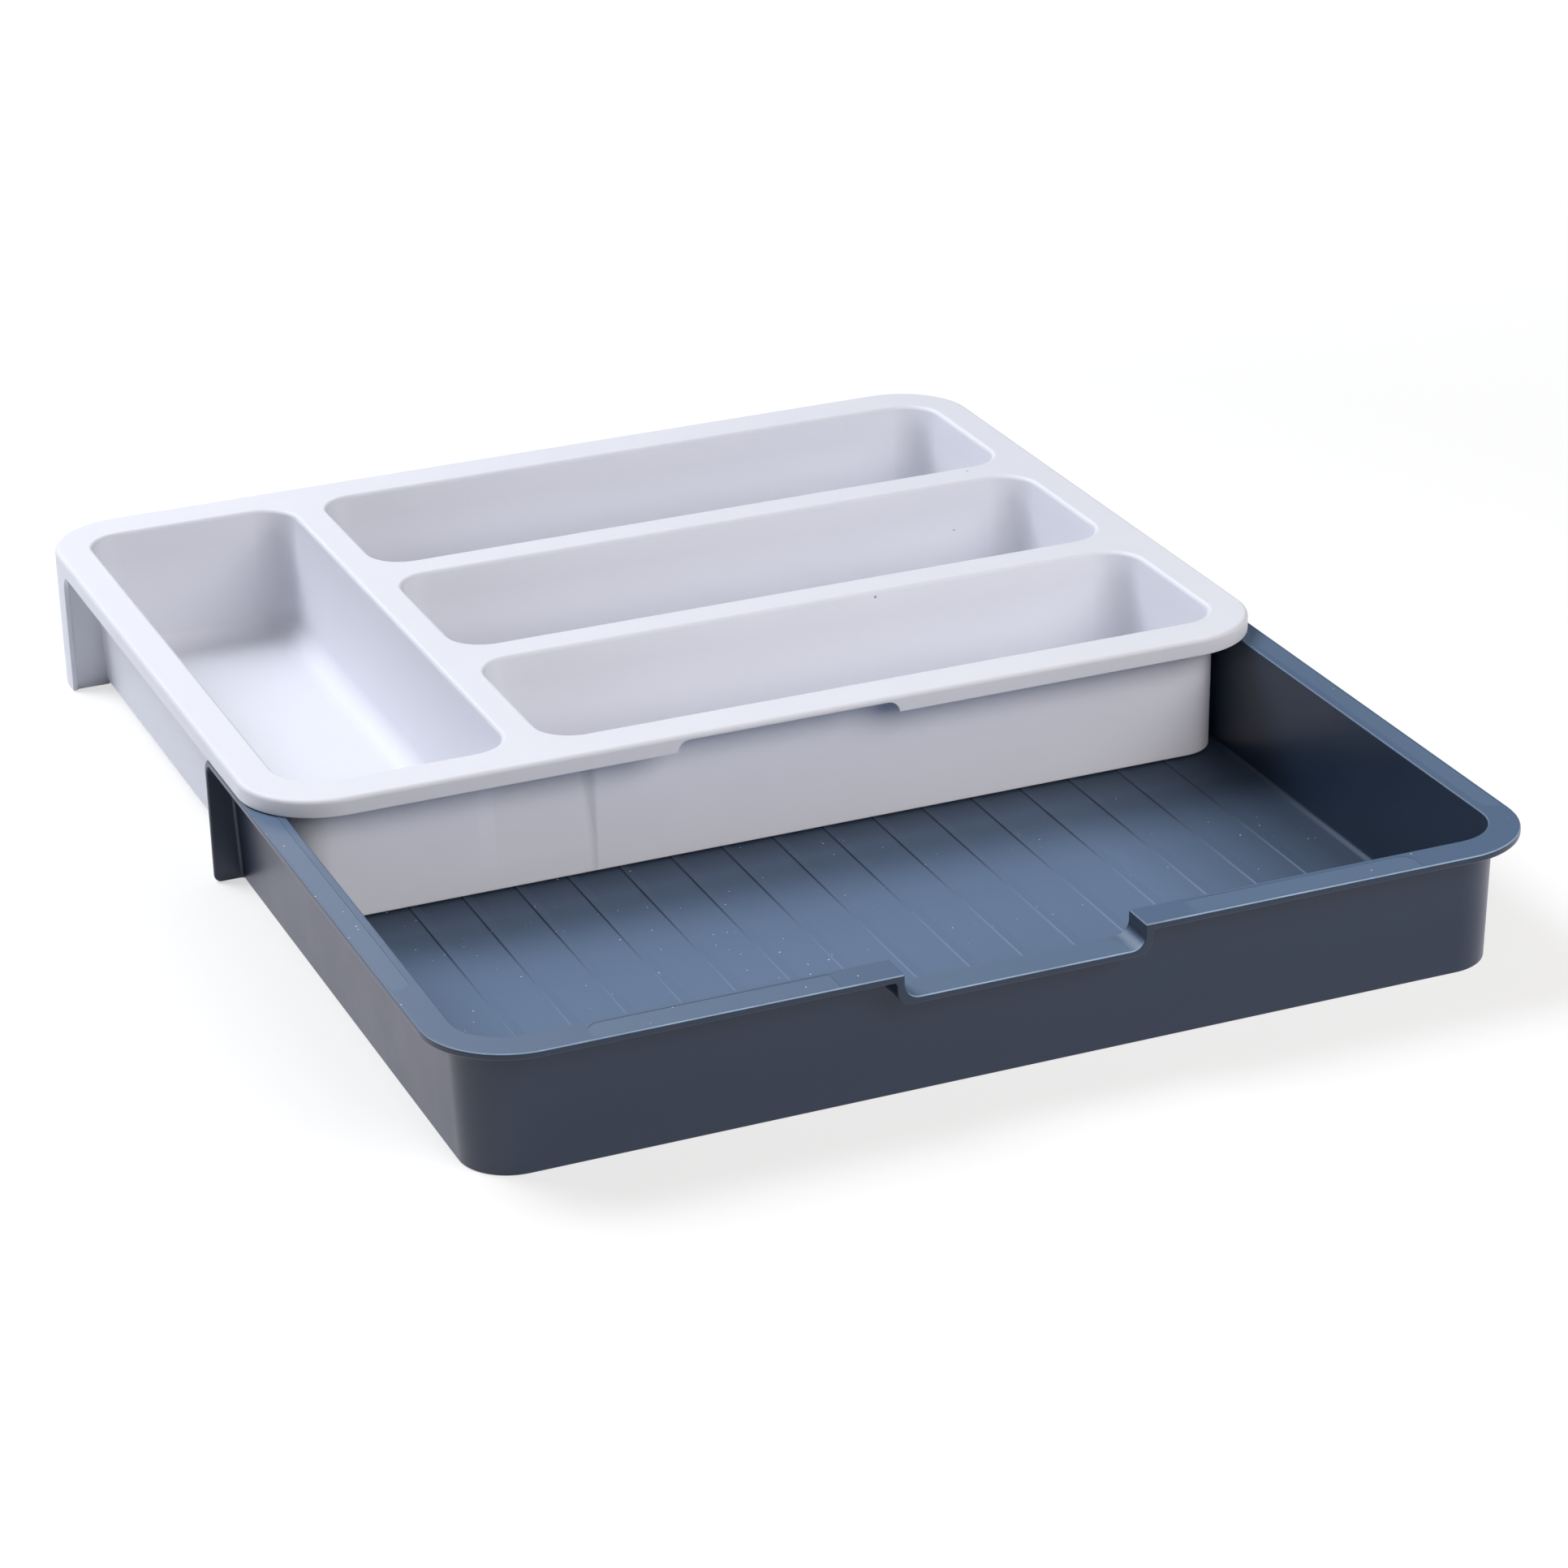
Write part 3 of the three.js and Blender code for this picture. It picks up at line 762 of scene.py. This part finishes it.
# Painted shade: the sink mark's right slope is painted as a greyer streak down the near wall, narrower
# towards the foot.
span = ramp(tree, spot["Z"], FOOT_KINK, 0.048, 0.0025, 0.006)
inward = add(tree, "Math", {0: spot["X"], 1: SINK_RIGHT}, operation="SUBTRACT")
across = add(tree, "Math", {0: inward.outputs[0], 1: span}, operation="DIVIDE")
from_left = ramp(tree, across.outputs[0], -1.1, -0.4)
from_right = ramp(tree, across.outputs[0], 0.15, -0.25)
outside = ramp(tree, spot["Y"], -0.0370, -0.0375)
under_lip = ramp(tree, spot["Y"], -0.0450, -0.0440)
below = ramp(tree, spot["Z"], 0.0520, 0.0510)
on_wall = times(tree, times(tree, outside, under_lip), below)
sink_shade = times(tree, times(tree, from_left, from_right), on_wall)
sink_shaded = blend(tree, sink_shade, pocket_shaded, SINK_SHADE)
flecked = blend(tree, flecks.outputs["Mask"], sink_shaded, FLECK_COLOUR)
gloss = ramp(tree, surface.outputs["Mottle"], 0.0, 1.0, PALE_GLOSS - 0.04, PALE_GLOSS + 0.04)
grain = add(tree, "Bump", {"Strength": 0.06, "Distance": 0.00005, "Height": surface.outputs["Grain"]})
shader.inputs["Subsurface Weight"].default_value = PALE_SCATTER
shader.inputs["Subsurface Scale"].default_value = PALE_SCATTER_DEPTH
shader.inputs["Subsurface Radius"].default_value = (1.0, 1.0, 1.0)
tree.links.new(flecked, shader.inputs["Base Color"])
tree.links.new(gloss, shader.inputs["Roughness"])
tree.links.new(grain.outputs["Normal"], shader.inputs["Normal"])
cover.data.materials.append(pale)
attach(cover, "upper")
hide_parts("upper_tray")

# Studio: a white sweep that keeps a soft shadow, lit by a large softbox behind on the left, a near one at
# the front and a weak one behind, and seen from the photo's viewpoint. The camera sees the sweep as white,
# and its front end reflects as a darker room.
SWEEP_SIZE = 14
SWEEP_GLOW = 0.62
SWEEP_BOUNCE = (0.8, 0.8, 0.8, 1)
SWEEP_SHADOW = (0.4, 0.4, 0.4, 1)
SWEEP_TINT = (0.99, 0.965, 1.09, 1)
WHITE = (1, 1, 1, 1)
ROOM_LIGHT = 0.03
bpy.ops.object.select_all(action="DESELECT")
bpy.ops.mesh.primitive_plane_add(size=SWEEP_SIZE, location=(0, 0, 0))
floor = bpy.context.object
floor.name = "studio_floor"
sweep = bpy.data.materials.new("studio_floor")
sweep.use_nodes = True
tree = sweep.node_tree
tree.nodes.remove(tree.nodes["Principled BSDF"])
ray = add(tree, "LightPath", {}).outputs
place = add(tree, "TexCoord", {})
spread = add(tree, "SeparateXYZ", {"Vector": place.outputs["Object"]})
depth = ramp(tree, spread.outputs["Y"], -0.42, -0.24, 0.42, 1.2)
apart = add(tree, "VectorMath", {0: place.outputs["Object"]}, operation="LENGTH")
far_off = ramp(tree, apart.outputs["Value"], 0.5, 2.2, 1.0, 1.65)
bright = add(tree, "Mix", {0: ray["Is Camera Ray"], 2: depth, 3: far_off})
seen = larger(tree, larger(tree, ray["Is Camera Ray"], ray["Is Glossy Ray"]), ray["Is Transmission Ray"])
bounce = add(tree, "BsdfDiffuse", {"Color": SWEEP_BOUNCE})
shadow = add(tree, "BsdfDiffuse", {"Color": SWEEP_SHADOW})
glow = times(tree, bright.outputs[0], SWEEP_GLOW)
hue = blend(tree, ray["Is Camera Ray"], SWEEP_TINT, WHITE)
white = add(tree, "Emission", {"Color": hue, "Strength": glow})
shown = add(tree, "AddShader", {0: shadow.outputs[0], 1: white.outputs[0]})
mixed = add(tree, "MixShader", {0: seen, 1: bounce.outputs[0], 2: shown.outputs[0]})
tree.links.new(mixed.outputs[0], tree.nodes["Material Output"].inputs["Surface"])
floor.data.materials.append(sweep)
floor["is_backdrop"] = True

world = bpy.data.worlds.new("studio")
bpy.context.scene.world = world
world.use_nodes = True
tree = world.node_tree
ray = add(tree, "LightPath", {}).outputs
seen = larger(tree, ray["Is Camera Ray"], ray["Is Transmission Ray"])
strength = ramp(tree, seen, 0.0, 1.0, ROOM_LIGHT, 1.0)
tree.links.new(strength, tree.nodes["Background"].inputs["Strength"])
tree.nodes["Background"].inputs["Color"].default_value = WHITE

SOFTBOXES = (
    ("key", 225, 51, 2.5, 1.2, 1.7, 57, (0.97, 1.0, 1.05)),
    ("fill", 18, 32, 1.3, 1.0, 0.65, 11.0, (1.04, 1.0, 0.97)),
    ("back", 180, 29, 2.5, 1.2, 1.2, 12, (1.0, 1.0, 1.0)),
)
for name, turn, rise, distance, width, height, power, hue in SOFTBOXES:
    box = bpy.data.lights.new(name, "AREA")
    box.shape = "RECTANGLE"
    box.size = width
    box.size_y = height
    box.energy = power
    box.color = hue
    lamp = bpy.data.objects.new(name, box)
    turn, rise = math.radians(turn), math.radians(rise)
    away = Vector((math.sin(turn) * math.cos(rise), -math.cos(turn) * math.cos(rise), math.sin(rise)))
    lamp.location = away * distance
    lamp.visible_camera = False
    lamp.rotation_euler = away.to_track_quat("Z", "Y").to_euler()
    bpy.context.scene.collection.objects.link(lamp)

CAMERA_PLACE = (-0.5621, -1.4478, 0.6850)
CAMERA_TURNS = (-21.861, 23.590, -1.678)
CAMERA_LENS = 108.16
yaw, rise, roll = (math.radians(angle) for angle in CAMERA_TURNS)
back = Vector((math.sin(yaw) * math.cos(rise), -math.cos(yaw) * math.cos(rise), math.sin(rise)))
level_right = Vector((0, 0, 1)).cross(back).normalized()
level_up = back.cross(level_right)
right = level_right * math.cos(roll) + level_up * math.sin(roll)
up = level_up * math.cos(roll) - level_right * math.sin(roll)
camera_data = bpy.data.cameras.new("camera")
camera_data.lens = CAMERA_LENS
camera_data.sensor_width = 36
camera = bpy.data.objects.new("camera", camera_data)
turned = Matrix((right, up, back)).transposed().to_4x4()
camera.matrix_world = Matrix.Translation(CAMERA_PLACE) @ turned
bpy.context.scene.collection.objects.link(camera)
bpy.context.scene.camera = camera
bpy.context.scene.view_settings.view_transform = "Standard"

low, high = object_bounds()
